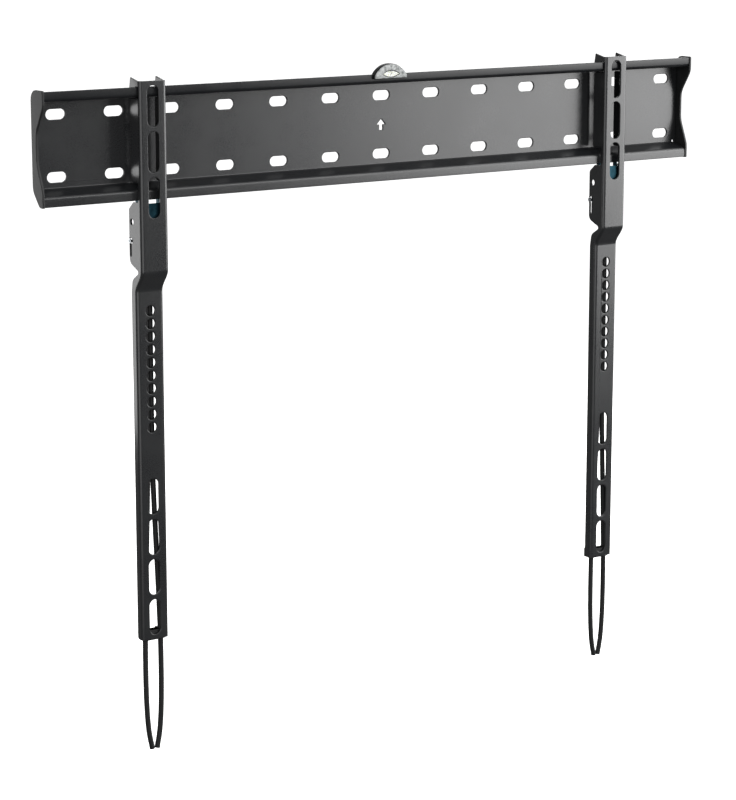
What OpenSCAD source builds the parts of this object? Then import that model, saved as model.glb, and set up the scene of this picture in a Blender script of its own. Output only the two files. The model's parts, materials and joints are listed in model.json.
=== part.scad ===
// Fixed wall mount for a television. A folded wall plate carries two hook-on arms.
// A sprung latch in each arm catches the plate's lower lip, and a cord pulls it free.
// The origin is on the wall, at the middle of the plate between its two rows of slots.
// X runs along the plate, +Y goes into the wall and Z is up.
// A depth is the distance out from the wall, towards -Y.

/* [Wall plate] */
// Length of the folded plate between its end caps
plate_w = 636; // [632:1:760]
// Thickness of the plate's sheet
plate_t = 2; // [1.5:0.1:2.5]
// Radius inside each fold of the plate
plate_fold_r = 1; // [0.6:0.1:1.6]
// Number of wall slots in each row
slot_count = 13; // [3:2:13]
// Distance between neighbouring wall slots
slot_pitch = 50; // [30:1:51]
// Length of a wall slot
slot_l = 16.5; // [12:0.5:24]
// Width of a wall slot
slot_w = 8; // [6:0.1:10]
// Distance between the two rows of wall slots
slot_rows = 48; // [40:1:80]
// Web from the upper row up to the top shelf
web_above = 10.7; // [8:0.1:16]
// Web from the lower row down to the bottom shelf
web_below = 8.4; // [7:0.1:14]
// Height of the top lip over the shelf's underside
lip_h = 8.1; // [7:0.1:12]
// Depth of the top lip's front
lip_depth = 18.5; // [17:0.1:24]
// Height of the bottom lip
foot_h = 7.7; // [6:0.1:12]
// Depth of the bottom lip's front
foot_depth = 15.4; // [14:0.1:16]
// Fall of the bottom shelf from the web to its front
foot_fall = 5; // [3:0.1:7]
// Width of the arrow that marks the middle
arrow_w = 8.4; // [6:0.1:12]
// Height of the arrow
arrow_h = 9.2; // [7:0.1:12]
// Diameter of the small hole at each end of the web's lower fold
drain_d = 2.4; // [1.6:0.1:3]

/* [End caps] */
// Thickness of an end cap
cap_t = 2; // [1.2:0.1:3]
// Depth of a cap at the waist of its front edge
cap_waist = 7.5; // [5:0.1:12]
// Length of the ribs that grip the sheet
cap_rib = 6; // [4:0.5:10]

/* [Level] */
// Place of the clip-on level along the plate
level_x = -3.5; // [-40:0.5:40]
// Width of the level
level_w = 32; // [28:0.5:44]
// Height of the level over the lip
level_rise = 8.3; // [8:0.1:12]
// Length of the vial
vial_l = 17; // [12:0.5:20]
// Height of the vial
vial_h = 5.6; // [4.6:0.1:6]

/* [Arms] */
// Place of the left arm along the plate
arm_left_x = -226; // [-290:1:-60]
// Place of the right arm along the plate
arm_right_x = 233; // [60:1:290]
// Width of an arm
arm_w = 24.4; // [23:0.1:30]
// Length of an arm
arm_l = 450; // [436:1:520]
// Thickness of an arm's sheet
arm_t = 2; // [1.5:0.1:2.4]
// Radius inside the long folds of an arm
arm_fold_r = 0.8; // [0.5:0.1:1.4]
// Gap between the top lip and the arm's face
arm_gap = 1; // [0.8:0.1:1.5]
// Height of an arm over the top lip
arm_rise = 6.9; // [5:0.1:11]
// Fall of an arm's top edge from the back of the flanges to the face
face_fall = 2.3; // [0:0.1:3]
// Distance from the arm's top to the start of the joggle
joggle_from = 149.7; // [147:0.1:161]
// Height of the joggle
joggle_h = 18; // [14:0.5:26]
// Step back of the face at the joggle
joggle_d = 9.5; // [8:0.1:10]
// Depth of the flanges' back edge beside the plate
flange_back = 5.8; // [4.5:0.1:7]
// Depth of the ears' back edge
ear_back = 1.7; // [1:0.1:2.5]
// Depth of the lower flanges' back edge
leg_back = 3.9; // [3:0.1:5]

/* [Screen fixings] */
// Width of the slots
tv_slot_w = 10; // [8:0.1:11]
// Length of an upper slot
high_slot_l = 32; // [26:0.5:33]
// Distance between upper slots
high_slot_pitch = 35.4; // [34:0.1:36]
// Distance from the arm's top to the first upper slot's centre
high_slot_from = 21.9; // [21:0.1:25]
// Number of round holes
hole_count = 10; // [4:1:11]
// Diameter of a round hole
hole_d = 8.4; // [6:0.1:9]
// Distance between round holes
hole_pitch = 10.4; // [9.6:0.1:11]
// Distance from the arm's top to the first round hole's centre
hole_from = 182.6; // [179:0.1:191]
// Number of lower slots
low_slot_count = 4; // [2:1:4]
// Length of a lower slot
low_slot_l = 29; // [24:0.5:30]
// Distance between lower slots
low_slot_pitch = 33.1; // [31.5:0.1:34]
// Distance from the last lower slot's centre to the arm's end
low_slot_end = 18.4; // [17.5:0.1:24]

/* [Latches] */
// Thickness of a latch's sheet
latch_t = 1.5; // [1.2:0.1:1.8]
// Play between a latch and its arm on each side
latch_play = 0.3; // [0.2:0.05:0.5]
// Height of a latch's front
latch_h = 40.5; // [39.5:0.1:42]
// Gap between the bottom lip and a latch's front
latch_gap = 2.4; // [2:0.1:3]
// Reach of the hooks up behind the bottom lip
hook_reach = 5.1; // [4:0.1:5.8]
// Play between the hooks and the bottom lip
hook_play = 0.6; // [0.3:0.1:1]
// Travel of a latch when its cord is pulled
latch_travel = 11; // [9:0.1:11]
// Diameter of the guide pins
pin_d = 2.2; // [2:0.1:3]
// Play between a guide pin and its slot on each side
pin_play = 0.1; // [0.05:0.01:0.1]
// Diameter of the round end of the keyholes
keyhole_d = 5.4; // [5:0.1:6]
// Outer diameter of the return springs
spring_d = 6; // [5:0.1:6.6]
// Wire of the return springs
spring_wire = 0.8; // [0.6:0.05:1]
// Turns of the return springs
spring_turns = 7; // [5:1:8]

/* [Cords] */
// Diameter of the pull cords
cord_d = 4; // [3:0.1:4]

/* [Hidden] */

// Fineness of true round shapes, and straight steps in a rounded outline's corner
$fn = 64;
corner_steps = 5;
// Overshoot of a cut past the face that it opens
cut = 1;

// Colours of the finishes
black_paint = "#2b2c2e";
black_plastic = "#1f2022";
dark_zinc = "#46525a";
steel = "#8d9196";

// Heights of the plate's folds
top_z = slot_rows / 2 + web_above;
lip_top_z = top_z + lip_h;
bottom_z = -slot_rows / 2 - web_below;
foot_front_z = bottom_z - foot_fall;
foot_end_z = foot_front_z - foot_h;
shelf_top_z = top_z + plate_t;
lip_back = lip_depth - plate_t;
foot_back = foot_depth - plate_t;

// Place of the small holes, in from the plate's end and up from the web's lower fold
drain_from = 2.6;
drain_rise = 0.4;

// Arm: depths of its outer face and heights of what lies along it
arm_face = lip_depth + arm_gap + arm_t;
arm_inside = arm_face - arm_t;
arm_top_z = lip_top_z + arm_rise;
arm_end_z = arm_top_z - arm_l;
arm_fold_out = arm_fold_r + arm_t;
leg_face = arm_face - joggle_d;
leg_inside = leg_face - arm_t;
joggle_top_z = arm_top_z - joggle_from;
joggle_end_z = joggle_top_z - joggle_h;
joggle_steps = 12;
channel_w = arm_w - 2 * arm_t;

// Clearance of the flanges round the plate, and the short hook behind the top lip
rail_clear = 1;
hang_clear = 0.1;
hook_tip_z = lip_top_z - 4.2;
hook_lean = 1.4;

// Latch at rest
latch_w = channel_w - 2 * latch_play;
latch_face = arm_inside - 0.5;
latch_inside = latch_face - latch_t;
latch_top_z = foot_end_z - latch_gap;
latch_end_z = latch_top_z - latch_h;
latch_fold_out = 0.5 + latch_t;
latch_wall_back = 8.5;
hook_front = foot_back - hook_play;
seat_z = latch_top_z - 11;
seat_w = 8;

// Guide pin and the keyholes that it slides in
pin_depth = ear_back + 2.2;
pin_z = latch_end_z + 10.3;
pin_fit = 0.02;
lug_h = 6.6;
lug_back = ear_back + 0.7;
ear_hole_d = 4.9;
ear_hole_depth = ear_back + 4.6;
ear_hole_z = latch_top_z - 15;

// Spring and the post that carries it
post_d = 4;
post_z = latch_end_z + 5.5;
post_end = 11.5;
spring_depth = latch_inside - spring_d / 2 - 0.5;
spring_low_z = post_z + post_d / 2;
spring_high_z = seat_z - latch_t;
spring_sides = 6;
spring_steps = 10;

// Cord: each strand's points from the latch down to the tip, as the distance
// from the arm's middle line and the height, at one depth inside the arm
cord_depth = 7;
cord_sides = 8;
cord_route = [
    [2.1, -86.5], [2.1, -100], [2.1, -140], [2.1, -190], [2.1, -235], [2.3, -262], [3.1, -290],
    [4.2, -320], [5.4, -350], [6.4, -380], [6.9, -397], [7.1, -415], [7.1, -435], [6.8, -452],
    [6.1, -467], [5.1, -478], [3.9, -485.5], [2.8, -490.5], [2.3, -493.5]
];
knot_d = 8;
knot_h = 6.4;

// Guide that closes the arm's end and keeps the strands apart
guide_h = 8.4;
guide_drop = 1;
guide_hole_d = cord_d + 1.4;
guide_hole_x = 6.8;
guide_back = leg_back + 0.1;
bumper_back = 0.4;
bumper_w = 5;

// Unit vector from one point to another, and the vector to its left
function dir(p, q) = (q - p) / norm(q - p);
function left_of(v) = [-v[1], v[0]];

// Points of the corner at q, between p and s, rounded to radius r
function corner_pts(p, q, s, r) =
    r == 0 ? [q] :
    let (
        a = dir(q, p),
        b = dir(q, s),
        half = acos(a * b) / 2,
        c = q + dir([0, 0], a + b) * r / sin(half),
        from = q + a * r / tan(half) - c,
        to = q + b * r / tan(half) - c,
        start = atan2(from[1], from[0]),
        turn = (atan2(to[1], to[0]) - start + 540) % 360 - 180
    )
    [for (i = [0:corner_steps])
        c + r * [cos(start + turn * i / corner_steps), sin(start + turn * i / corner_steps)]];

// Closed outline through corners given as [x, y, radius]
function rounded(corners) =
    let (n = len(corners))
    [for (i = [0:n - 1])
        let (p = corners[(i + n - 1) % n], q = corners[i], s = corners[(i + 1) % n])
        each corner_pts([p[0], p[1]], [q[0], q[1]], [s[0], s[1]], q[2])];

// Which way a line of points turns at point i, positive to the left
function turn_at(pts, i) =
    let (a = pts[i] - pts[i - 1], b = pts[i + 1] - pts[i])
    a[0] * b[1] - a[1] * b[0];

// Outline of a folded sheet whose one face runs along pts, with the sheet on its left
function folded(pts, t, r) =
    let (
        last = len(pts) - 1,
        face = [for (i = [0:last])
            let (bend = i == 0 || i == last ? 0 : turn_at(pts, i) > 0 ? r + t : r)
            [pts[i][0], pts[i][1], bend]],
        back = [for (i = [last:-1:0])
            let (
                n = left_of(dir(pts[max(i, 1) - 1], pts[max(i, 1)])),
                m = left_of(dir(pts[min(i, last - 1)], pts[min(i, last - 1) + 1])),
                q = pts[i] + (n + m) / (1 + n * m) * t,
                bend = i == 0 || i == last ? 0 : turn_at(pts, i) > 0 ? r : r + t
            )
            [q[0], q[1], bend]]
    )
    rounded(concat(face, back));

// Draws an outline of [depth, height] and extrudes it along X, about X = 0
module across(w) {
    rotate([90, 0, -90])
        linear_extrude(height = w, center = true)
            children();
}

// Draws an outline of [x, height] and extrudes it from one depth out to another
module outward(d0, d1) {
    translate([0, -d0, 0])
        rotate([90, 0, 0])
            linear_extrude(height = d1 - d0)
                children();
}

// Round-ended slot, lying along X
module slot_2d(l, w) {
    square([l - w, w], center = true);
    for (s = [-1, 1])
        translate([s * (l - w) / 2, 0])
            circle(d = w);
}

// Round bar along X
module bar_x(d, l, depth, z) {
    translate([0, -depth, z])
        rotate([0, 90, 0])
            cylinder(d = d, h = l, center = true);
}

// Cross-section of a channel as [x, distance behind its outer face], with flanges
// that stand back by d and long folds of outer radius fold
function channel_section(w, d, t, fold) =
    let (
        x = w / 2 - fold,
        bend = function (side, r, a0, a1)
            [for (i = [0:corner_steps])
                let (a = a0 + (a1 - a0) * i / corner_steps)
                [side * x + r * cos(a), fold + r * sin(a)]]
    )
    concat(
        [[-w / 2, d]],
        bend(-1, fold, 180, 270),
        bend(1, fold, 270, 360),
        [[w / 2, d], [w / 2 - t, d]],
        bend(1, fold - t, 360, 270),
        bend(-1, fold - t, 270, 180),
        [[t - w / 2, d]]
    );

// Channel whose outer face runs along line, a list of [depth, height] from top to bottom
module channel(w, d, t, fold, line) {
    section = channel_section(w, d, t, fold);
    n = len(section);
    m = len(line);
    polyhedron(
        points = [for (s = line) for (p = section) [p[0], p[1] - s[0], s[1]]],
        faces = concat(
            [[for (i = [n - 1:-1:0]) i]],
            [for (k = [0:m - 2]) for (i = [0:n - 1])
                [k * n + i, k * n + (i + 1) % n, (k + 1) * n + (i + 1) % n, (k + 1) * n + i]],
            [[for (i = [0:n - 1]) (m - 1) * n + i]]
        )
    );
}

// Round tube swept along pts, with its rings turned towards a fixed side.
// Its ends are closed, and taper where ease is under 1.
module tube(pts, r, sides, side, ease) {
    m = len(pts);
    function along(i) = dir(pts[max(i - 1, 0)], pts[min(i + 1, m - 1)]);
    function unit(v) = v / norm(v);
    points = [for (i = [0:m - 1])
        let (
            u = unit(cross(along(i), side)),
            v = cross(along(i), u),
            size = i == m - 1 ? r * ease : r
        )
        for (k = [0:sides - 1])
            pts[i] + size * (u * cos(360 * k / sides) + v * sin(360 * k / sides))];
    polyhedron(
        points = points,
        faces = concat(
            [[for (k = [0:sides - 1]) k]],
            [for (i = [0:m - 2]) for (k = [0:sides - 1])
                let (a = i * sides + k, b = i * sides + (k + 1) % sides)
                each [[a, a + sides, b + sides], [a, b + sides, b]]],
            [[for (k = [sides - 1:-1:0]) (m - 1) * sides + k]]
        )
    );
}

// Folded plate with its two rows of wall slots, the middle arrow and the cap holes
module wall_plate() {
    color(black_paint)
        difference() {
            across(plate_w)
                polygon(folded([
                    [foot_depth, foot_end_z], [foot_depth, foot_front_z],
                    [plate_t, bottom_z], [plate_t, top_z],
                    [lip_depth, top_z], [lip_depth, lip_top_z]
                ], plate_t, plate_fold_r));
            for (i = [0:slot_count - 1], s = [-1, 1])
                translate([(i - (slot_count - 1) / 2) * slot_pitch, 0, s * slot_rows / 2])
                    outward(-cut, plate_t + cut)
                        slot_2d(slot_l, slot_w);
            for (s = [-1, 1])
                translate([s * (plate_w / 2 - drain_from), 0, bottom_z + drain_rise])
                    outward(-cut, plate_t + cut)
                        circle(d = drain_d);
            outward(-cut, plate_t + cut)
                middle_arrow();
        }
}

// Arrow that points up, pierced at the plate's middle
module middle_arrow() {
    shaft = arrow_w * 0.42;
    polygon([
        [-shaft / 2, -arrow_h / 2], [shaft / 2, -arrow_h / 2], [shaft / 2, 0],
        [arrow_w / 2, 0], [0, arrow_h / 2], [-arrow_w / 2, 0], [-shaft / 2, 0]
    ]);
}

// Moulded end cap: a waisted plate with two ribs that grip the folded sheet
module end_cap(side) {
    proud = 0.8;
    front = lip_depth + proud;
    foot = foot_depth + proud;
    top = lip_top_z + proud;
    end = foot_end_z - 0.4;
    color(black_plastic)
        union() {
            translate([side * (plate_w + cap_t) / 2, 0, 0])
                across(cap_t)
                    polygon(rounded([
                        [0, top, 8], [front, top, 1.5], [front, top_z - 4, 14],
                        [cap_waist, 12, 16], [cap_waist, -12, 22], [foot, foot_front_z + 4, 14],
                        [foot, end, 1], [foot - 5.5, end, 5], [0, bottom_z - 1, 12]
                    ]));
            translate([side * (plate_w - cap_rib) / 2, 0, 0]) {
                across(cap_rib)
                    polygon([
                        [4, shelf_top_z], [lip_back, shelf_top_z], [lip_back, shelf_top_z + 1.5],
                        [4, shelf_top_z + 1.5]
                    ]);
                across(cap_rib)
                    polygon([
                        [foot_back, foot_end_z + 1], [foot_back, foot_end_z + 3.5],
                        [foot_back - 3, foot_end_z + 3.5], [foot_back - 3, foot_end_z + 1]
                    ]);
            }
        }
}
module end_cap_left() { end_cap(-1); }
module end_cap_right() { end_cap(1); }

// Level: heights and depths that its pieces share
level_low_z = lip_top_z - 3.9;
level_top_z = lip_top_z + level_rise;
level_shoulder = 2.8;
level_front = lip_depth + 1.8;
level_face_t = 1.2;
level_leg = 1.2;
vial_z = level_low_z + 3.9;
vial_t = 2.6;
vial_wall = 0.5;

// Half-moon outline of the level, drawn in by inset
module half_moon(inset) {
    rise = level_top_z - level_low_z - level_shoulder;
    r = (pow(level_w / 2, 2) + pow(rise, 2)) / 2 / rise;
    intersection() {
        translate([0, level_top_z - r])
            circle(r = r - inset);
        translate([inset - level_w / 2, level_low_z + inset])
            square([level_w - 2 * inset, level_top_z]);
    }
}

// Almond outline of the vial, drawn in by inset
module almond(inset) {
    r = (pow(vial_l / 2, 2) + pow(vial_h / 2, 2)) / vial_h;
    intersection_for (s = [-1, 1])
        translate([0, vial_z + s * (r - vial_h / 2)])
            circle(r = r - inset);
}

// Black clip of the level, which sits over the top lip
module level_clip() {
    slot_play = 0.1;
    color(black_plastic)
        translate([level_x, 0, 0])
            difference() {
                outward(lip_back - level_leg, level_front)
                    half_moon(0);
                translate([-level_w, -lip_depth - slot_play, level_low_z - cut])
                    cube([2 * level_w, plate_t + 2 * slot_play, lip_top_z - level_low_z + cut]);
                outward(lip_depth + slot_play, level_front + cut)
                    almond(-slot_play);
            }
}

// Frosted face of the level with its almond window
module level_face() {
    color("#b9bcbb")
        translate([level_x, 0, 0])
            difference() {
                outward(level_front, level_front + level_face_t)
                    half_moon(0.5);
                outward(level_front - cut, level_front + level_face_t + cut)
                    almond(-0.1);
            }
}

// Clear vial, closed all round
module level_vial() {
    front = level_front + level_face_t + 0.2;
    color("#e6efe4")
        translate([level_x, 0, 0])
            difference() {
                outward(front - vial_t, front)
                    almond(0);
                outward(front - vial_t + vial_wall, front - vial_wall)
                    almond(vial_wall);
            }
}

// Liquid in the vial, round its bubble
module level_liquid() {
    front = level_front + level_face_t + 0.2 - vial_wall;
    color("#cfe0b4")
        translate([level_x, 0, 0])
            difference() {
                outward(front - vial_t + 2 * vial_wall, front)
                    almond(vial_wall);
                translate([-1, 0, vial_z + 0.8])
                    outward(front - 1, front + cut)
                        slot_2d(5, 2.4);
            }
}

// Arm: a channel whose face steps back at the joggle. Its flanges rise over the face,
// hook over the top lip, clear the bottom lip and widen into two ears below it.
module arm() {
    line = concat(
        [[arm_face, arm_top_z + cut]],
        [for (i = [0:joggle_steps])
            [leg_face + joggle_d * (1 + cos(180 * i / joggle_steps)) / 2,
             joggle_top_z - joggle_h * i / joggle_steps]],
        [[leg_face, arm_end_z - cut]]
    );
    color(black_paint)
        difference() {
            channel(arm_w, arm_face, arm_t, arm_fold_out, line);
            across(arm_w + 2 * cut)
                polygon(rounded(flange_relief()));
            across(arm_w + 2 * cut)
                polygon(top_relief());
            translate([-arm_w, -2 * arm_face, arm_end_z - 2 * cut])
                cube([2 * arm_w, 3 * arm_face, 2 * cut]);
            screen_fixings();
            latch_keyholes();
        }
}

// What is cut away over the arm, whose flanges rise towards their back
function top_relief() =
    let (far = 2 * arm_face, face_top_z = arm_top_z - face_fall)
    [
        [far, face_top_z], [arm_face - arm_fold_out, face_top_z],
        [flange_back + hook_lean, arm_top_z], [-far, arm_top_z],
        [-far, arm_top_z + 2 * cut], [far, arm_top_z + 2 * cut]
    ];

// What is cut away behind the flanges: the corners of their back edge from the top down
function flange_relief() =
    let (
        far = -2 * arm_face,
        hook_front_depth = lip_back - rail_clear,
        slit = arm_inside - 0.3,
        beside_foot = foot_depth + rail_clear + 0.2,
        ear_top_z = foot_end_z - 1.5
    )
    [
        [far, arm_top_z + 9, 0], [flange_back + hook_lean + 1.8, arm_top_z + 9, 0],
        [flange_back - 0.8, hook_tip_z, 1.5], [hook_front_depth, hook_tip_z, 0.8],
        [hook_front_depth, lip_top_z + hang_clear, 0], [slit, lip_top_z + hang_clear, 0],
        [slit, top_z - rail_clear, 0], [flange_back, top_z - rail_clear, 2],
        [flange_back, bottom_z + rail_clear, 1.5], [beside_foot, bottom_z + rail_clear, 1],
        [beside_foot, ear_top_z, 1.5], [ear_back + 7.4, ear_top_z, 1.5],
        [ear_back, ear_top_z - 6, 3], [ear_back, joggle_top_z + 5, 6],
        [leg_face + 4.6, joggle_top_z - 1.2, 1.6], [leg_back + 1.6, joggle_top_z - 8, 6],
        [leg_back, joggle_end_z, 0], [leg_back, arm_end_z + 1.5, 0],
        [leg_back + 3, arm_end_z - 1.5, 0], [leg_back + 3, arm_end_z - 9, 0],
        [far, arm_end_z - 9, 0]
    ];

// Slots and round holes for the screen's screws
module screen_fixings() {
    for (i = [0:2])
        translate([0, 0, arm_top_z - high_slot_from - i * high_slot_pitch])
            outward(arm_inside - cut, arm_face + cut)
                rotate(90)
                    slot_2d(high_slot_l, tv_slot_w);
    for (i = [0:hole_count - 1])
        translate([0, 0, arm_top_z - hole_from - i * hole_pitch])
            outward(leg_inside - cut, leg_face + cut)
                circle(d = hole_d);
    for (i = [0:low_slot_count - 1])
        translate([0, 0, arm_end_z + low_slot_end + i * low_slot_pitch])
            outward(leg_inside - cut, leg_face + cut)
                rotate(90)
                    slot_2d(low_slot_l, tv_slot_w);
}

// Keyholes for the guide pin and the small holes above them, through both ears
module latch_keyholes() {
    slot = pin_d + 2 * pin_play;
    across(arm_w + 2 * cut) {
        translate([ear_hole_depth, ear_hole_z])
            circle(d = ear_hole_d);
        translate([pin_depth, pin_z])
            circle(d = keyhole_d);
        translate([pin_depth, pin_z - latch_travel / 2])
            rotate(90)
                slot_2d(latch_travel + slot, slot);
    }
}

// Latch: a small channel inside the arm, with two hooks behind the bottom lip, lugs
// for the guide pin, a seat for the spring and a shelf for the cord
module latch() {
    shelf_w = latch_w - 2 * latch_t - 1;
    shelf_back = cord_depth - cord_d / 2 - 1.4;
    color(dark_zinc)
        difference() {
            union() {
                intersection() {
                    translate([0, -latch_face, latch_end_z])
                        linear_extrude(height = latch_h + latch_gap + hook_reach)
                            polygon(channel_section(latch_w, latch_face, latch_t, latch_fold_out));
                    across(arm_w)
                        polygon(rounded(latch_side()));
                }
                translate([-seat_w / 2, -latch_inside - latch_t / 2, spring_high_z])
                    cube([seat_w, latch_inside + latch_t / 2 - 9, latch_t]);
                translate([-shelf_w / 2, -latch_inside - latch_t / 2, latch_end_z])
                    cube([shelf_w, latch_inside + latch_t / 2 - shelf_back, latch_t]);
            }
            translate([-seat_w / 2, -latch_face - cut, latch_end_z + 3])
                cube([seat_w, latch_t + cut + 0.01, spring_high_z - latch_end_z - 3]);
            translate([0, -cord_depth, latch_end_z - cut])
                linear_extrude(height = latch_t + 2 * cut)
                    slot_2d(2 * cord_d + 1, cord_d + 0.6);
            bar_x(pin_d + 2 * pin_fit, arm_w, pin_depth, pin_z);
        }
}

// Side outline of the latch: its front, its hooks and its lugs
function latch_side() = [
    [arm_face, latch_top_z, 0], [hook_front, latch_top_z, 0.5],
    [hook_front, latch_top_z + latch_gap + hook_reach - 1.2, 0.4],
    [hook_front - 1.2, latch_top_z + latch_gap + hook_reach, 0.5],
    [latch_wall_back, latch_top_z + latch_gap + 1.5, 0.8],
    [latch_wall_back, pin_z + lug_h / 2, 1], [lug_back, pin_z + lug_h / 2, 1.5],
    [lug_back, pin_z - lug_h / 2, 1.5], [latch_wall_back, pin_z - lug_h / 2, 1],
    [latch_wall_back, latch_end_z, 1.5], [arm_face, latch_end_z, 0]
];

// Guide pin across the ears, with a flat dimpled head outside each
module guide_pin() {
    head_gap = 0.2;
    head_d = pin_d + 1.8;
    head_t = 0.8;
    dimple_d = pin_d - 0.6;
    dimple_deep = 0.5;
    end_x = arm_w / 2 + head_gap + head_t;
    color(steel)
        difference() {
            union() {
                bar_x(pin_d, arm_w + 2 * head_gap + head_t, pin_depth, pin_z);
                for (s = [-1, 1])
                    translate([s * (end_x - head_t / 2), 0, 0])
                        bar_x(head_d, head_t, pin_depth, pin_z);
            }
            for (s = [-1, 1])
                translate([s * end_x, 0, 0])
                    bar_x(dimple_d, 2 * dimple_deep, pin_depth, pin_z);
        }
}

// Post welded to the inside of the arm's face, under the spring
module spring_post() {
    color(steel)
        translate([0, -arm_inside, post_z])
            rotate([-90, 0, 0])
                cylinder(d = post_d, h = arm_inside - post_end);
}

// Return spring between the post and the latch's seat
module return_spring() {
    r = (spring_d - spring_wire) / 2;
    low = spring_low_z + spring_wire / 2 + 0.05;
    high = spring_high_z - spring_wire / 2 - 0.05;
    n = spring_turns * spring_steps;
    color(steel)
        tube([for (i = [0:n])
            let (a = 360 * i / spring_steps)
            [r * cos(a), r * sin(a) - spring_depth, low + (high - low) * i / n]],
            spring_wire / 2, spring_sides, [0, 0, 1], 1);
}

// Plastic guide in the arm's end, with a hole for each strand and a bumper that
// meets the wall on the side of the plate's middle
module cord_guide(side) {
    color(black_plastic)
        difference() {
            union() {
                translate([0, 0, arm_end_z - guide_drop])
                    linear_extrude(height = guide_h)
                        polygon([
                            [-channel_w / 2, -guide_back], [channel_w / 2, -guide_back],
                            [channel_w / 2, arm_fold_out - leg_face],
                            [channel_w / 2 - arm_fold_r, -leg_inside],
                            [arm_fold_r - channel_w / 2, -leg_inside],
                            [-channel_w / 2, arm_fold_out - leg_face]
                        ]);
                translate([side * (channel_w - bumper_w) / 2, 0, 0])
                    across(bumper_w)
                        polygon(rounded([
                            [guide_back + 0.5, arm_end_z - guide_drop, 0],
                            [guide_back + 0.5, arm_end_z - guide_drop + guide_h, 0],
                            [bumper_back, arm_end_z - guide_drop + guide_h, 1],
                            [bumper_back, arm_end_z - guide_drop, 1]
                        ]));
            }
            for (s = [-1, 1])
                translate([s * guide_hole_x, -cord_depth, arm_end_z - guide_drop - cut])
                    cylinder(d = guide_hole_d, h = guide_h + 2 * cut);
        }
}

// One strand of a pull cord, on the side of the arm that sign gives
module strand(sign) {
    color(black_plastic)
        tube([for (p = cord_route) [sign * p[0], -cord_depth, p[1]]],
            cord_d / 2, cord_sides, [0, 1, 0], 0.6);
}

// Stopper knot over the latch's shelf, where the doubled cord begins
module cord_knot() {
    color(black_plastic)
        translate([0, -cord_depth, latch_end_z + latch_t])
            rotate_extrude()
                intersection() {
                    translate([0, knot_h / 2])
                        scale(knot_d / 2)
                            circle(r = 1);
                    square([knot_d, knot_h]);
                }
}

module at_left() { translate([arm_left_x, 0, 0]) children(); }
module at_right() { translate([arm_right_x, 0, 0]) children(); }

module arm_left() { at_left() arm(); }
module latch_left() { at_left() latch(); }
module guide_pin_left() { at_left() guide_pin(); }
module spring_post_left() { at_left() spring_post(); }
module return_spring_left() { at_left() return_spring(); }
module cord_guide_left() { at_left() cord_guide(1); }
module cord_left_outer() { at_left() strand(-1); }
module cord_left_inner() { at_left() strand(1); }
module cord_knot_left() { at_left() cord_knot(); }

module arm_right() { at_right() arm(); }
module latch_right() { at_right() latch(); }
module guide_pin_right() { at_right() guide_pin(); }
module spring_post_right() { at_right() spring_post(); }
module return_spring_right() { at_right() return_spring(); }
module cord_guide_right() { at_right() cord_guide(-1); }
module cord_right_outer() { at_right() strand(1); }
module cord_right_inner() { at_right() strand(-1); }
module cord_knot_right() { at_right() cord_knot(); }

wall_plate();
end_cap_left();
end_cap_right();
level_clip();
level_face();
level_vial();
level_liquid();
arm_left();
latch_left();
guide_pin_left();
spring_post_left();
return_spring_left();
cord_guide_left();
cord_left_outer();
cord_left_inner();
cord_knot_left();
arm_right();
latch_right();
guide_pin_right();
spring_post_right();
return_spring_right();
cord_guide_right();
cord_right_outer();
cord_right_inner();
cord_knot_right();
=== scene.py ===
"""Looks of a slim television wall mount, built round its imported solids.

Everything is in metres, in the frame of the solids: the wall is at Y = 0, the front looks
towards -Y, X runs along the plate and Z is up.
"""

import json
import math

import bmesh
import bpy
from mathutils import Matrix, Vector


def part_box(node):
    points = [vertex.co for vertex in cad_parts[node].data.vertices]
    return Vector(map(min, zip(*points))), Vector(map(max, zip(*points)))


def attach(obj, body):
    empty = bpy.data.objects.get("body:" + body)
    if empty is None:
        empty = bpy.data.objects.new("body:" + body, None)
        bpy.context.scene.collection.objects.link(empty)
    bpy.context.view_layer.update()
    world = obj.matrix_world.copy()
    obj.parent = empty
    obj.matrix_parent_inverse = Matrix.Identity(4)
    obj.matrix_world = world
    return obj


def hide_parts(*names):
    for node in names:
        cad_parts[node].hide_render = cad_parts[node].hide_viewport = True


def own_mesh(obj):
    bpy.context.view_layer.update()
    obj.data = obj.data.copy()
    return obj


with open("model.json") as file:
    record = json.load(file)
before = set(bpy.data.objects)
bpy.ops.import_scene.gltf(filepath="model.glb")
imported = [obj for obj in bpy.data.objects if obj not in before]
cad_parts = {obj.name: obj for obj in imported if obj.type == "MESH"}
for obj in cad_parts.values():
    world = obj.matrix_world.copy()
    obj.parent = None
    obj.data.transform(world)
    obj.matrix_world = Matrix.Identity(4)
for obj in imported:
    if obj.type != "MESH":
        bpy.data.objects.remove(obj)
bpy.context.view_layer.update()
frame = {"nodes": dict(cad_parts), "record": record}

MM = 0.001
# Where each arm's middle line stands along the plate
SIDES = {"left": -0.226, "right": 0.233}
# The side of the arm's middle line, along X, on which each strand of its pull cord hangs
STRANDS = {"left": {"outer": -1, "inner": 1}, "right": {"outer": 1, "inner": -1}}

scene = bpy.context.scene
scene.view_settings.view_transform = "Standard"


# Camera

PHOTO_HEIGHT_PX = 800  # the photograph is 736 by 800 pixels, and its long side sets the sensor
FOCAL_PX = 2630.3
CAMERA_AZIMUTH, CAMERA_ELEVATION = math.radians(-34.17), math.radians(11.54)
CAMERA_TARGET = Vector((-0.01324, -0.002, -0.23031))
CAMERA_DISTANCE = 2.20574


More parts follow.
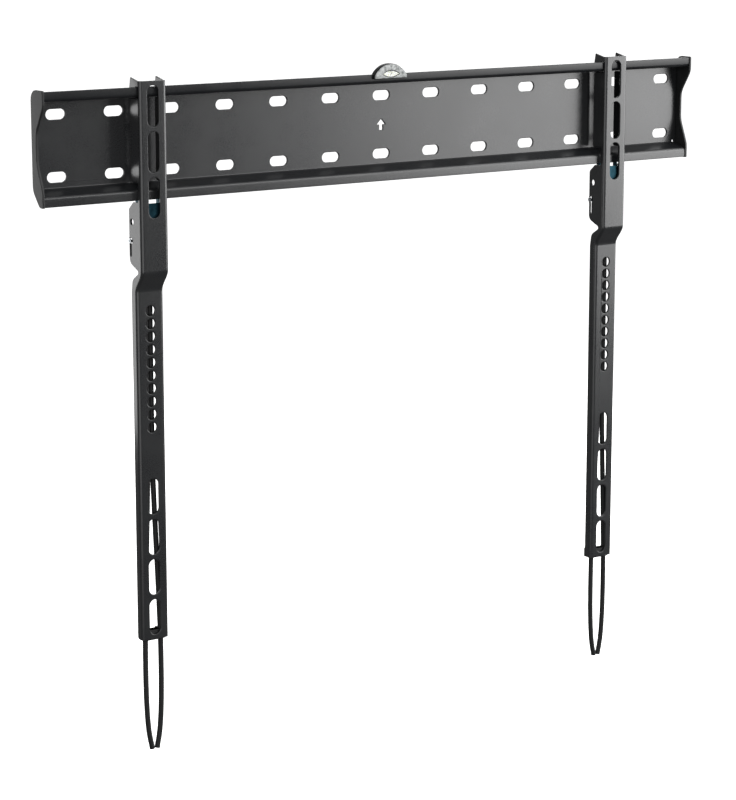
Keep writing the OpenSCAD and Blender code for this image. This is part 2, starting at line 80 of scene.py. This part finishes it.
def make_camera():
    """The photograph's own view: from the left, a little above, with a long lens."""
    data = bpy.data.cameras.new("photo_camera")
    data.sensor_width = 36
    data.lens = FOCAL_PX * data.sensor_width / PHOTO_HEIGHT_PX
    data.clip_start, data.clip_end = 0.05, 100
    camera = bpy.data.objects.new("photo_camera", data)
    scene.collection.objects.link(camera)
    back = Vector((
        math.sin(CAMERA_AZIMUTH) * math.cos(CAMERA_ELEVATION),
        -math.cos(CAMERA_AZIMUTH) * math.cos(CAMERA_ELEVATION),
        math.sin(CAMERA_ELEVATION),
    ))
    camera.location = CAMERA_TARGET + back * CAMERA_DISTANCE
    camera.rotation_mode = "QUATERNION"
    camera.rotation_quaternion = (-back).to_track_quat("-Z", "Y")
    scene.camera = camera


make_camera()


# Nodes

MATH, RANGE, MIX = "ShaderNodeMath", "ShaderNodeMapRange", "ShaderNodeMix"


def fill(tree, node, inputs):
    """Sets or links a node's inputs by name or number. A node stands for its first output."""
    for key, value in inputs.items():
        if isinstance(value, bpy.types.Node):
            value = value.outputs[0]
        if isinstance(value, bpy.types.NodeSocket):
            tree.links.new(value, node.inputs[key])
        else:
            node.inputs[key].default_value = value


def add(tree, kind, *values, **settings):
    """Adds a node with its settings. The values are its inputs in order, or one dict of them."""
    node = tree.nodes.new(kind)
    for name, value in settings.items():
        setattr(node, name, value)
    named = len(values) == 1 and isinstance(values[0], dict)
    fill(tree, node, values[0] if named else dict(enumerate(values)))
    return node


def linear(code):
    """An sRGB hex colour as linear RGBA."""
    parts = [int(code[i:i + 2], 16) / 255 for i in (1, 3, 5)]
    return [c / 12.92 if c <= 0.04045 else ((c + 0.055) / 1.055) ** 2.4 for c in parts] + [1]


# Finishes

def new_finish(name):
    """An empty material with its shader and the object's own coordinates."""
    material = bpy.data.materials.new(name)
    material.use_nodes = True
    tree = material.node_tree
    tree.nodes.clear()
    shader = add(tree, "ShaderNodeBsdfPrincipled")
    add(tree, "ShaderNodeOutputMaterial", {"Surface": shader})
    place = add(tree, "ShaderNodeTexCoord").outputs["Object"]
    return material, tree, shader, place


def grain(tree, place, size_mm, detail=2.0, stretch=(1, 1, 1)):
    """Noise whose patches are about size_mm across, stretched along the axes."""
    scaled = add(tree, "ShaderNodeMapping", {"Vector": place, "Scale": stretch})
    return add(tree, "ShaderNodeTexNoise", {
        "Vector": scaled, "Scale": 1 / (size_mm * MM), "Detail": detail})


NOISE_SPAN = (0.3, 0.7)  # most noise lies between these values, near one half


def drift(tree, noise, first, second):
    """A colour that drifts with noise from one hex colour to another."""
    share = add(tree, RANGE, noise, *NOISE_SPAN)
    colours = {0: share, 6: linear(first), 7: linear(second)}
    return add(tree, MIX, colours, data_type="RGBA").outputs[2]


def relief(tree, *layers):
    """Bumps one on top of another, each given as its pattern and its real depth in mm."""
    below = {}
    for height, depth_mm in layers:
        below = {"Normal": add(tree, "ShaderNodeBump", {
            "Height": height, "Strength": 1.0, "Distance": depth_mm * MM, **below})}
    return below["Normal"]


# Depths and heights on the plate, in mm, between which its gloss is cut down to paint shade on
# the lip's front and on the low shelf
LIP_FRONT_Y, LIP_FOOT_Z = (-17.2, -17.6), (33.8, 34.2)
LIP_PAINTED_SHADE_Z, LIP_PAINTED_SHADE = (35, 42), (0.92, 0.45)
SHELF_Z, SHELF_FRONT_Y, SHELF_BACK_Y = (-32.0, -33.0), (-13.9, -13.5), (-3.0, -3.8)
SHELF_PAINTED_SHADE = 0.85
FULL_GLOSS = 0.5


def plate_gloss_with_painted_shade(tree, place):
    """The plate's gloss, cut down by position to paint shade: on the lip's front, most towards
    its foot, and on the low shelf.
    """
    split = add(tree, "ShaderNodeSeparateXYZ", place)
    y, z = split.outputs["Y"], split.outputs["Z"]
    shares = []
    for value, (first, last), ends in (
        (y, LIP_FRONT_Y, (0, 1)), (z, LIP_FOOT_Z, (0, 1)), (z, LIP_PAINTED_SHADE_Z, LIP_PAINTED_SHADE),
        (z, SHELF_Z, (0, 1)), (y, SHELF_FRONT_Y, (0, 1)), (y, SHELF_BACK_Y, (0, SHELF_PAINTED_SHADE)),
    ):
        shares.append(add(tree, RANGE, value, first * MM, last * MM, *ends))
    painted_shades = []
    for front, foot, fade in (shares[:3], shares[3:]):
        corner = add(tree, MATH, front, foot, operation="MULTIPLY")
        painted_shades.append(add(tree, MATH, corner, fade, operation="MULTIPLY"))
    painted_shade = add(tree, MATH, *painted_shades, operation="ADD")
    left = add(tree, MATH, 1.0, painted_shade, operation="SUBTRACT")
    return add(tree, MATH, left, FULL_GLOSS, operation="MULTIPLY")


def powder_coated_steel(name="semi_gloss_black_powder_coat", gloss=None):
    """Black polyester powder baked on sheet steel: semi-gloss, with a faint orange peel."""
    material, tree, shader, place = new_finish(name)
    peel = grain(tree, place, 1.6)
    powder = grain(tree, place, 0.35)  # real powder is 0.05 mm: drawn coarser, to show
    cloud = grain(tree, place, 45, 3)
    broad = add(tree, RANGE, cloud, *NOISE_SPAN, 0.27, 0.31)
    fine = add(tree, RANGE, powder, *NOISE_SPAN, -0.02, 0.02)
    fill(tree, shader, {
        "Base Color": drift(tree, cloud, "#17181a", "#1d1e1f"),
        "Roughness": add(tree, MATH, broad, fine, operation="ADD"),
        "Normal": relief(tree, (peel, 0.012), (powder, 0.004)),
        "IOR": 1.5,
    })
    # On the plate, the gloss is a mask by position that cuts the reflection down: painted shade.
    if gloss:
        fill(tree, shader, {"Specular IOR Level": gloss(tree, place)})
    return material


def moulded_nylon(name="black_moulded_nylon", gloss=0.35):
    """Black injection-moulded nylon: satin, with the spark texture of its tool."""
    material, tree, shader, place = new_finish(name)
    spark = grain(tree, place, 0.4, 3)  # real pits are 0.1 mm: drawn coarser, to show
    fill(tree, shader, {
        "Base Color": drift(tree, grain(tree, place, 18), "#0b0c0d", "#121314"),
        "Roughness": add(tree, RANGE, spark, *NOISE_SPAN, 0.46, 0.6),
        "Normal": relief(tree, (spark, 0.02)),
        "Specular IOR Level": gloss,
        "IOR": 1.53,
    })
    return material


def frosted_acrylic():
    """Light grey acrylic with a frosted face, speckled by its diffusing grains."""
    material, tree, shader, place = new_finish("frosted_grey_acrylic")
    speck = grain(tree, place, 2.0, 5)  # real grains are 0.3 mm: drawn coarser, to show
    cloud = grain(tree, place, 6)
    tone = add(tree, MATH, add(tree, RANGE, speck, *NOISE_SPAN, 0, 0.75),
               add(tree, RANGE, cloud, *NOISE_SPAN, 0, 0.25), operation="ADD")
    greys = {0: tone, 6: linear("#262929"), 7: linear("#b4b7b6")}
    fill(tree, shader, {
        "Base Color": add(tree, MIX, greys, data_type="RGBA").outputs[2],
        "Roughness": add(tree, RANGE, speck, *NOISE_SPAN, 0.4, 0.58),
        "Normal": relief(tree, (speck, 0.03)),
        "IOR": 1.49,
        "Subsurface Weight": 0.15,
        "Subsurface Radius": (0.001, 0.001, 0.001),
    })
    return material


def clear_acrylic():
    """Polished clear acrylic of the vial: see-through and bright, with faint flow marks."""
    material, tree, shader, place = new_finish("clear_acrylic")
    fill(tree, shader, {
        "Base Color": linear("#2a3126"),
        "Alpha": 0.12,
        "Roughness": 0.03,
        "Normal": relief(tree, (grain(tree, place, 3), 0.004)),
        "IOR": 1.49,
    })
    return material


def green_spirit():
    """Mineral spirit of the vial: almost clear, with a breath of yellow-green."""
    material, tree, shader, place = new_finish("pale_green_spirit")
    fill(tree, shader, {
        "Base Color": drift(tree, grain(tree, place, 4), "#eef1e6", "#f8f9f2"),
        "Subsurface Weight": 0.4,
        "Subsurface Radius": (0.002, 0.002, 0.0015),
        "Roughness": 0.08,
        "IOR": 1.36,
    })
    return material


def zinc(name, dark, light, rough, drift_mm):
    """Electroplated zinc on rolled steel: fine rolling streaks and a drifting passivate tint."""
    material, tree, shader, place = new_finish(name)
    streak = grain(tree, place, 0.5, 3, (1, 1, 0.08))
    fill(tree, shader, {
        "Base Color": drift(tree, grain(tree, place, drift_mm, 2), dark, light),
        "Roughness": add(tree, RANGE, streak, *NOISE_SPAN, rough - 0.06, rough + 0.08),
        "Normal": relief(tree, (streak, 0.006)),
        "Metallic": 1,
    })
    return material


def braided_nylon():
    """Black braided nylon: dull yarns with a soft sheen, painted darker where they dip, as shade
    between the yarns.
    """
    material, tree, shader, place = new_finish("black_braided_nylon")
    height = add(tree, "ShaderNodeAttribute", attribute_name="yarn_height").outputs["Fac"]
    fibre = grain(tree, place, 0.25, 2)  # real fibres are 0.03 mm: drawn coarser, to show
    # The yarn height darkens the colour in the dips: painted shade between the yarns.
    tone = add(tree, MATH, height, add(tree, RANGE, fibre, *NOISE_SPAN, 0.6, 1.0),
               operation="MULTIPLY")
    blacks_with_painted_shade = {0: tone, 6: linear("#030304"), 7: linear("#141516")}
    fill(tree, shader, {
        "Base Color": add(tree, MIX, blacks_with_painted_shade, data_type="RGBA").outputs[2],
        "Roughness": 0.62,
        "Normal": relief(tree, (fibre, 0.03)),
        "Specular IOR Level": 0.3,
        "Sheen Weight": 0.05,
        "Sheen Roughness": 0.4,
        "IOR": 1.53,
    })
    return material


FINISHES = {
    "black_paint": powder_coated_steel(),
    "black_plastic": moulded_nylon(),
    "frosted_plastic": frosted_acrylic(),
    "clear_plastic": clear_acrylic(),
    "vial_liquid": green_spirit(),
    "dark_zinc": zinc("blue_black_zinc_plate", "#10242b", "#1c363f", 0.42, 9),
    "steel": zinc("bright_zinc_plate", "#85898c", "#a3a7aa", 0.33, 5),
    "black_cord": braided_nylon(),
}


# Grown pieces

def new_tree(name, sizes):
    """An empty geometry tree with one named input for each size, and one for the finish."""
    tree = bpy.data.node_groups.new(name, "GeometryNodeTree")
    sockets = tree.interface
    sockets.new_socket("Path", in_out="INPUT", socket_type="NodeSocketGeometry")
    for label, value in sizes.items():
        kind = "NodeSocketInt" if isinstance(value, int) else "NodeSocketFloat"
        sockets.new_socket(label, in_out="INPUT", socket_type=kind).default_value = value
    sockets.new_socket("Finish", in_out="INPUT", socket_type="NodeSocketMaterial")
    sockets.new_socket("Geometry", in_out="OUTPUT", socket_type="NodeSocketGeometry")
    return tree, tree.nodes.new("NodeGroupInput").outputs


def close_tree(tree, geometry, finish):
    """Ends a tree in real geometry with its finish set."""
    real = add(tree, "GeometryNodeRealizeInstances", geometry)
    smooth = add(tree, "GeometryNodeSetShadeSmooth", {"Geometry": real})
    named = add(tree, "GeometryNodeSetMaterial", {"Geometry": smooth, "Material": finish})
    add(tree, "NodeGroupOutput", named)


def braid_tree():
    """A round braid along a path: two families of yarns that cross over and under."""
    tree, given = new_tree("round_braid", {
        "Outer radius": 2.3 * MM, "Yarn dip": 0.3 * MM, "Yarns each way": 8,
        "Lay length": 12.5 * MM, "Ring spacing": 0.35 * MM, "Sides": 40,
        "Rounded end": 2 * MM,
    })
    turn = 2 * math.pi

    def store(geometry, name, value, kind="FLOAT"):
        inputs = {"Geometry": geometry, "Name": name, "Value": value}
        return add(tree, "GeometryNodeStoreNamedAttribute", inputs, data_type=kind,
                   domain="POINT")

    def kept(name, kind="FLOAT"):
        return add(tree, "GeometryNodeInputNamedAttribute", {"Name": name}, data_type=kind)

    fine = add(tree, "GeometryNodeResampleCurve",
               {"Curve": given["Path"], "Length": given["Ring spacing"]}, mode="LENGTH")
    spline = add(tree, "GeometryNodeSplineParameter").outputs
    whole = add(tree, "GeometryNodeSplineLength").outputs["Length"]

    # The path's radius falls off in a quarter circle over the rounded end
    from_end = add(tree, MATH, whole, spline["Length"], operation="SUBTRACT")
    end_share = add(tree, MATH, from_end, given["Rounded end"], operation="DIVIDE")
    short_of = add(tree, MATH, 1.0, end_share, operation="SUBTRACT")
    into_end = add(tree, MATH, short_of, 0.0, operation="MAXIMUM")
    squared = add(tree, MATH, into_end, into_end, operation="MULTIPLY")
    rest = add(tree, MATH, 1.02, squared, operation="SUBTRACT")
    full = add(tree, MATH, rest, operation="SQRT")
    radius = add(tree, MATH, full, 1.0, operation="MINIMUM")
    sized = add(tree, "GeometryNodeSetCurveRadius", {"Curve": fine, "Radius": radius})

    position = add(tree, "GeometryNodeInputPosition")
    centred = store(sized, "middle", position, "FLOAT_VECTOR")
    marked = store(centred, "along", spline["Length"])
    circle = add(tree, "GeometryNodeCurvePrimitiveCircle", {
        "Resolution": given["Sides"], "Radius": given["Outer radius"]})
    ring = store(circle, "around", spline["Factor"])
    tube = add(tree, "GeometryNodeCurveToMesh", {
        "Curve": marked, "Profile Curve": ring, "Fill Caps": True})

    # Each family of yarns winds its own way, and goes over and under the other
    lays = add(tree, MATH, kept("along"), given["Lay length"], operation="DIVIDE")
    wound = add(tree, MATH, lays, turn, operation="MULTIPLY")
    turned = add(tree, MATH, kept("around"), turn, operation="MULTIPLY")
    crossing = add(tree, MATH, wound, given["Yarns each way"], operation="MULTIPLY")
    over = add(tree, MATH, crossing, operation="COSINE")
    heights = []
    for sign in (1, -1):
        twist = add(tree, MATH, wound, -sign, turned, operation="MULTIPLY_ADD")
        phase = add(tree, MATH, twist, given["Yarns each way"], operation="MULTIPLY")
        wave = add(tree, MATH, phase, operation="COSINE")
        crown = add(tree, MATH, wave, 0.5, 0.5, operation="MULTIPLY_ADD")
        lift = add(tree, MATH, over, 0.3 * sign, 0.7, operation="MULTIPLY_ADD")
        heights.append(add(tree, MATH, crown, lift, operation="MULTIPLY"))
    height = add(tree, MATH, *heights, operation="MAXIMUM")

    # The surface sinks between the yarns
    short = add(tree, MATH, height, 1.0, operation="SUBTRACT")
    down = add(tree, MATH, short, given["Yarn dip"], operation="MULTIPLY")
    from_middle = add(tree, "ShaderNodeVectorMath", position, kept("middle", "FLOAT_VECTOR"),
                      operation="SUBTRACT")
    outward = add(tree, "ShaderNodeVectorMath", from_middle, operation="NORMALIZE")
    offset = add(tree, "ShaderNodeVectorMath", {0: outward, "Scale": down}, operation="SCALE")
    woven = add(tree, "GeometryNodeSetPosition", {"Geometry": tube, "Offset": offset})
    # The yarn height is kept for the finish, which paints shade into the dips.
    clean = store(woven, "yarn_height", height)
    for name in ("middle", "along", "around"):
        clean = add(tree, "GeometryNodeRemoveAttribute", {"Geometry": clean, "Name": name})
    close_tree(tree, clean, given["Finish"])
    return tree


def spring_tree():
    """A compression spring on a straight path: open turns between two closed end turns."""
    tree, given = new_tree("compression_spring", {
        "Coil radius": 2.6 * MM, "Wire radius": 0.4 * MM, "Turns": 7.0, "Closed turns": 0.9,
        "Height": 20 * MM, "Rings": 240, "Sides": 12,
    })
    fine = add(tree, "GeometryNodeResampleCurve",
               {"Curve": given["Path"], "Count": given["Rings"]}, mode="COUNT")
    share = add(tree, "GeometryNodeSplineParameter").outputs["Factor"]
    turns = add(tree, MATH, share, given["Turns"], operation="MULTIPLY")
    wire = add(tree, MATH, given["Wire radius"], 2.0, operation="MULTIPLY")

    # Turns so far in the closed ends, which rise by one wire a turn, and in the open middle
    first = add(tree, MATH, turns, given["Closed turns"], operation="MINIMUM")
    upper = add(tree, MATH, given["Turns"], given["Closed turns"], operation="SUBTRACT")
    past_upper = add(tree, MATH, turns, upper, operation="SUBTRACT")
    last = add(tree, MATH, past_upper, 0.0, operation="MAXIMUM")
    closed_turns = add(tree, MATH, first, last, operation="ADD")
    open_turns = add(tree, MATH, turns, closed_turns, operation="SUBTRACT")

    # The open turns share the height that the closed ones leave
    all_closed = add(tree, MATH, given["Closed turns"], 2.0, operation="MULTIPLY")
    closed_height = add(tree, MATH, all_closed, wire, operation="MULTIPLY")
    open_height = add(tree, MATH, given["Height"], closed_height, operation="SUBTRACT")
    all_open = add(tree, MATH, given["Turns"], all_closed, operation="SUBTRACT")
    pitch = add(tree, MATH, open_height, all_open, operation="DIVIDE")
    low_part = add(tree, MATH, closed_turns, wire, operation="MULTIPLY")
    rise = add(tree, MATH, open_turns, pitch, low_part, operation="MULTIPLY_ADD")

    angle = add(tree, MATH, turns, 2 * math.pi, operation="MULTIPLY")
    across = []
    for way in ("COSINE", "SINE"):
        part = add(tree, MATH, angle, operation=way)
        across.append(add(tree, MATH, part, given["Coil radius"], operation="MULTIPLY"))
    spot = add(tree, "ShaderNodeCombineXYZ", *across, rise)
    start = add(tree, "GeometryNodeFieldAtIndex", {
        "Index": 0, "Value": add(tree, "GeometryNodeInputPosition"),
    }, data_type="FLOAT_VECTOR", domain="POINT")
    placed = add(tree, "ShaderNodeVectorMath", spot, start, operation="ADD")
    coiled = add(tree, "GeometryNodeSetPosition", {"Geometry": fine, "Position": placed})
    circle = add(tree, "GeometryNodeCurvePrimitiveCircle", {
        "Resolution": given["Sides"], "Radius": given["Wire radius"]})
    tube = add(tree, "GeometryNodeCurveToMesh", {
        "Curve": coiled, "Profile Curve": circle, "Fill Caps": True})
    close_tree(tree, tube, given["Finish"])
    return tree


def path_object(name, points, cyclic=False):
    """A plain polyline for a tree to follow."""
    curve = bpy.data.curves.new(name, "CURVE")
    curve.dimensions = "3D"
    line = curve.splines.new("POLY")
    line.points.add(len(points) - 1)
    for spot, point in zip(line.points, points):
        spot.co = (*point, 1)
    line.use_cyclic_u = cyclic
    holder = bpy.data.objects.new(name, curve)
    scene.collection.objects.link(holder)
    return holder


def grow(name, holder, tree, slot, **sizes):
    """Runs a tree on a path, and leaves only the plain mesh that it makes."""
    modifier = holder.modifiers.new("grow", "NODES")
    modifier.node_group = tree
    values = {label.replace("_", " "): value for label, value in sizes.items()}
    values["Finish"] = FINISHES[slot]
    for socket in tree.interface.items_tree:
        if socket.in_out == "INPUT" and socket.name in values:
            modifier[socket.identifier] = values[socket.name]
    depsgraph = bpy.context.evaluated_depsgraph_get()
    mesh = bpy.data.meshes.new_from_object(holder.evaluated_get(depsgraph), depsgraph=depsgraph)
    mesh.name = name
    bpy.data.objects.remove(holder)
    piece = bpy.data.objects.new(name, mesh)
    scene.collection.objects.link(piece)
    return piece


# Pull cords

CORD_DEPTH = 7 * MM  # how far the cords hang from the wall
# Distance from the arm's middle line and height, in mm, from the latch to the tip
STRAND_ROUTE = [
    (2.1, -86.5), (2.1, -100), (2.1, -140), (2.1, -190), (2.1, -235), (2.3, -262), (3.1, -290),
    (4.2, -320), (5.4, -350), (6.4, -380), (6.9, -397), (7.1, -415), (7.1, -435), (6.8, -452),
    (6.1, -467), (5.1, -478), (3.9, -485.5), (2.8, -490.5), (2.3, -493.5),
]
PARTS_PER_SPAN = 6


def eased(points):
    """A smooth line through points, as many short straight parts."""
    ends = [2 * points[0] - points[1], *points, 2 * points[-1] - points[-2]]
    line = []
    for a, b, c, d in zip(ends, ends[1:], ends[2:], ends[3:]):
        la, lb, lc = (math.sqrt((q - p).length) for p, q in ((a, b), (b, c), (c, d)))
        # the line's slope at both ends of this part
        m1 = ((c - b) / lb - (c - a) / (la + lb) + (b - a) / la) * lb
        m2 = ((d - c) / lc - (d - b) / (lb + lc) + (c - b) / lb) * lb
        for i in range(PARTS_PER_SPAN):
            t = i / PARTS_PER_SPAN
            line.append(
                b * (2 * t ** 3 - 3 * t ** 2 + 1) + m1 * (t ** 3 - 2 * t ** 2 + t)
                + c * (3 * t ** 2 - 2 * t ** 3) + m2 * (t ** 3 - t ** 2))
    return [*line, points[-1]]


BRAID = braid_tree()


def strand(side, place):
    """One braided strand of a pull cord, hanging from its latch."""
    sign = STRANDS[side][place]
    route = [Vector((SIDES[side] + sign * x * MM, -CORD_DEPTH, z * MM))
             for x, z in STRAND_ROUTE]
    line = eased(route)
    name = f"braided_cord_{side}_{place}"
    piece = grow(name, path_object(name + "_path", line), BRAID, "black_cord")
    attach(piece, f"{side}_latch")
    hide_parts(f"cord_{side}_{place}")


for side in SIDES:
    for place in STRANDS[side]:
        strand(side, place)


# Pieces from the solids

SHARPEST_KEPT_ANGLE = math.radians(32)  # edges that turn more than this are rounded


def slot_of(node):
    """The material slot that the record gives to a solid."""
    return next(part["material_slot"] for part in frame["record"]["subparts"]
                if part["node"] == node)


def soften(node, body, edge_mm, finish=None):
    """A merged copy of a solid with its edges rounded, shown in the solid's place."""
    solid, slot = frame["nodes"][node], slot_of(node)
    name = node + "_finished"
    mesh = bpy.data.meshes.new(name)
    work = bmesh.new()
    work.from_mesh(solid.data)
    bmesh.ops.remove_doubles(work, verts=work.verts, dist=0.002 * MM)
    bmesh.ops.dissolve_limit(work, angle_limit=math.radians(0.5), verts=work.verts,
                             edges=work.edges, use_dissolve_boundaries=False)
    for face in work.faces:
        face.smooth = True
    work.to_mesh(mesh)
    work.free()
    for layer in [a for a in mesh.attributes if a.name == "custom_normal"]:
        mesh.attributes.remove(layer)
    piece = bpy.data.objects.new(name, mesh)
    scene.collection.objects.link(piece)
    mesh.materials.append(finish or FINISHES[slot])
    rounding = piece.modifiers.new("rounded_edges", "BEVEL")
    rounding.width = edge_mm * MM
    rounding.segments = 2
    rounding.limit_method = "ANGLE"
    rounding.angle_limit = SHARPEST_KEPT_ANGLE
    rounding.use_clamp_overlap = False
    rounding.miter_outer = "MITER_ARC"
    weighting = piece.modifiers.new("flat_faces_stay_flat", "WEIGHTED_NORMAL")
    weighting.weight = 80
    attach(piece, body)
    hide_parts(node)


def finish_solid(node):
    """A small solid that is shown as it is, in its own finish."""
    materials = frame["nodes"][node].data.materials
    materials.clear()
    materials.append(FINISHES[slot_of(node)])


# The plate's gloss is cut down on the lip's front and on the low shelf: painted shade.
soften("wall_plate", "plate", 0.5,
       powder_coated_steel("powder_coat_with_painted_shade_on_plate", plate_gloss_with_painted_shade))
soften("end_cap_left", "plate", 0.4)
soften("end_cap_right", "plate", 0.4)
soften("level_clip", "plate", 0.4, moulded_nylon("dull_black_nylon", 0.1))
soften("level_face", "plate", 0.25)
for node in ("level_vial", "level_liquid"):
    finish_solid(node)

for side in SIDES:
    soften(f"arm_{side}", f"{side}_arm", 0.55)
    soften(f"latch_{side}", f"{side}_latch", 0.25)
    soften(f"cord_guide_{side}", f"{side}_arm", 0.35)
    for node in (f"guide_pin_{side}", f"spring_post_{side}"):
        finish_solid(node)


# Springs and knots

SPRING = spring_tree()
SPRING_WIRE = 0.4 * MM  # the wire's radius
KNOT_POINTS, KNOT_WIDTH, KNOT_DEPTH = 72, 0.82 * MM, 1.5 * MM


def coil_spring(side):
    """The return spring of a latch, drawn at the one height of the solid it stands for; the real
    spring shortens as the latch comes down.
    """
    low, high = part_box(f"return_spring_{side}")
    middle = (low + high) / 2
    start = Vector((middle.x, middle.y, low.z + SPRING_WIRE))
    name = f"coil_spring_{side}"
    holder = path_object(name + "_path", [start, start + Vector((0, 0, 0.01))])
    spring = grow(name, holder, SPRING, "steel", Height=high.z - low.z - 2 * SPRING_WIRE)
    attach(spring, f"{side}_arm")
    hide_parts(f"return_spring_{side}")
    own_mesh(spring)


def tied_knot(side):
    """The overhand knot that holds a pull cord behind its latch."""
    low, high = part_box(f"cord_knot_{side}")
    centre = (low + high) / 2
    loops = []
    for i in range(KNOT_POINTS):
        t = 2 * math.pi * i / KNOT_POINTS
        loops.append(centre + Vector((
            KNOT_WIDTH * (math.sin(t) + 2 * math.sin(2 * t)),
            KNOT_WIDTH * (math.cos(t) - 2 * math.cos(2 * t)),
            -KNOT_DEPTH * math.sin(3 * t))))
    name = f"cord_knot_{side}_tied"
    knot = grow(name, path_object(name + "_path", loops, cyclic=True), BRAID, "black_cord",
                Outer_radius=1.5 * MM, Yarn_dip=0.2 * MM, Rounded_end=0.001 * MM)
    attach(knot, f"{side}_latch")
    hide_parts(f"cord_knot_{side}")


for side in SIDES:
    coil_spring(side)
    tied_knot(side)


# Studio

FLOOR_Z, FLOOR_HALF_WIDTH = -0.56, 40


def make_floor():
    """Pale paper floor under the hanging mount."""
    mesh = bpy.data.meshes.new("pale_floor")
    corners = ((-1, -1), (1, -1), (1, 1), (-1, 1))
    mesh.from_pydata([(x * FLOOR_HALF_WIDTH, y * FLOOR_HALF_WIDTH, FLOOR_Z)
                      for x, y in corners], [], [(0, 1, 2, 3)])
    floor = bpy.data.objects.new("pale_floor", mesh)
    scene.collection.objects.link(floor)
    material, tree, shader, place = new_finish("matt_white_paper")
    fill(tree, shader, {
        "Base Color": drift(tree, grain(tree, place, 0.8, 3), "#f3f3f3", "#f8f8f8"),
        "Roughness": 0.9,
        "Specular IOR Level": 0.1,
        "Emission Color": linear("#ffffff"),
        "Emission Strength": 0.45,
    })
    mesh.materials.append(material)
    floor.visible_glossy = False  # keeps the white floor out of the black gloss
    floor.visible_diffuse = False  # and leaves the undersides dark


def softbox(name, place, aim, width, height, radiance):
    """A soft light panel that shows in the gloss but not to the camera."""
    data = bpy.data.lights.new(name, "AREA")
    data.shape = "RECTANGLE"
    data.size, data.size_y = width, height
    data.energy = radiance * math.pi * width * height
    lamp = bpy.data.objects.new(name, data)
    scene.collection.objects.link(lamp)
    lamp.location = place
    lamp.rotation_mode = "QUATERNION"
    lamp.rotation_quaternion = (Vector(aim) - Vector(place)).to_track_quat("-Z", "Y")
    lamp.visible_camera = False


def make_sky(high, low):
    """Soft light from all round, which fades from the sky down to a dim ground."""
    world = bpy.data.worlds.new("soft_studio")
    world.use_nodes = True
    tree = world.node_tree
    tree.nodes.clear()
    direction = add(tree, "ShaderNodeTexCoord").outputs["Generated"]
    height = add(tree, "ShaderNodeSeparateXYZ", direction).outputs["Z"]
    strength = add(tree, RANGE, height, -0.15, 0.3, low, high, interpolation_type="SMOOTHSTEP")
    sky = add(tree, "ShaderNodeBackground", {"Color": linear("#ffffff"), "Strength": strength})
    add(tree, "ShaderNodeOutputWorld", {"Surface": sky})
    scene.world = world


make_floor()
make_sky(high=0.75, low=0.2)
# Name, place, aim, width, height and radiance
for panel in (
    ("right_front_panel", (1.34, -0.8, 0.1), (0.15, 0, 0), 1.5, 0.95, 7.0),
    ("fold_light", (1.1, -1.3, 1.15), (0, 0, 0), 1.6, 0.5, 5.0),
    ("left_back_panel", (-0.335, 0.159, -0.1), (-0.24, -0.01, -0.08), 0.13, 0.34, 2.8),
    ("left_front_panel", (-1.1, -1.25, -0.1), (0, 0, -0.1), 1.5, 1.2, 2.2),
    ("right_back_panel", (1.2, 1.2, 0.3), (0, 0, -0.1), 1.8, 1.1, 3.5),
    ("top_panel", (-0.2, -0.3, 2.4), (0, 0, 0), 2.2, 2.2, 1.2),
):
    softbox(*panel)
